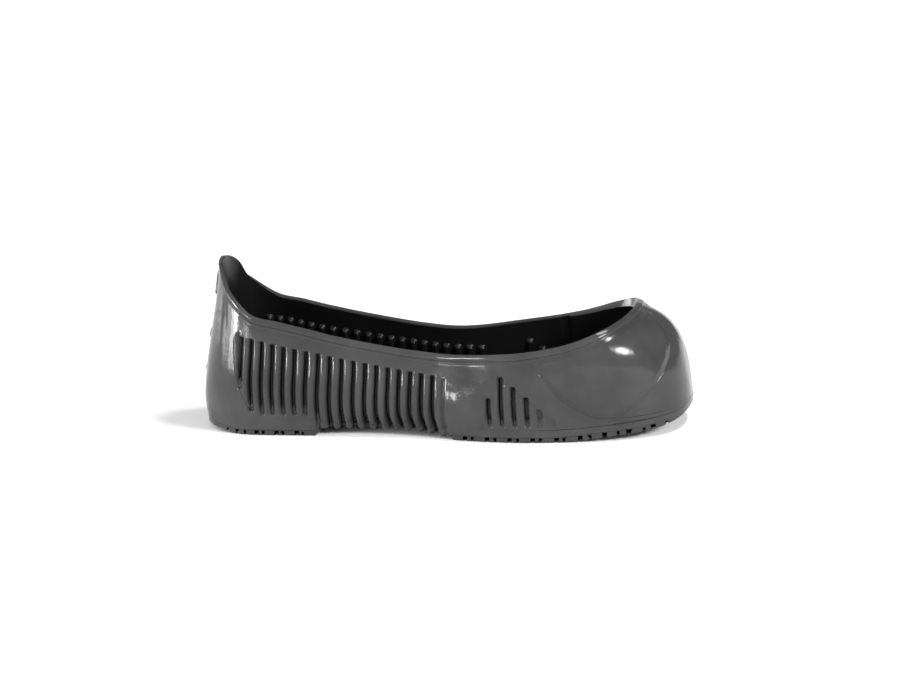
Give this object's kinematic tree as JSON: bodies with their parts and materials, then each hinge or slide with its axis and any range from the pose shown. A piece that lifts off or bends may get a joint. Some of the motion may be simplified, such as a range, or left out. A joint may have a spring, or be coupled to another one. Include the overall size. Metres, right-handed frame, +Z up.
{
  "type": "slip-on rubber overshoe",
  "caption": "Low slip-on overshoe of grey moulded rubber with upright bellows grooves along both sides, a raised heel tab, a beaded collar and a lugged tread.",
  "frame": {"origin": "on the floor, under the middle of the bounding box", "axes": "+X towards the toe, +Y towards the inner side of this right shoe, +Z up"},
  "size_m": [0.3025, 0.1129, 0.1048],
  "materials": {
    "upper_rubber": "smooth moulded rubber with a satin gloss",
    "outsole_rubber": "moulded rubber, slightly duller than the upper"
  },
  "bodies": {
    "root": {"upper": "upper_rubber", "outsole": "outsole_rubber"}
  },
  "joints": []
}
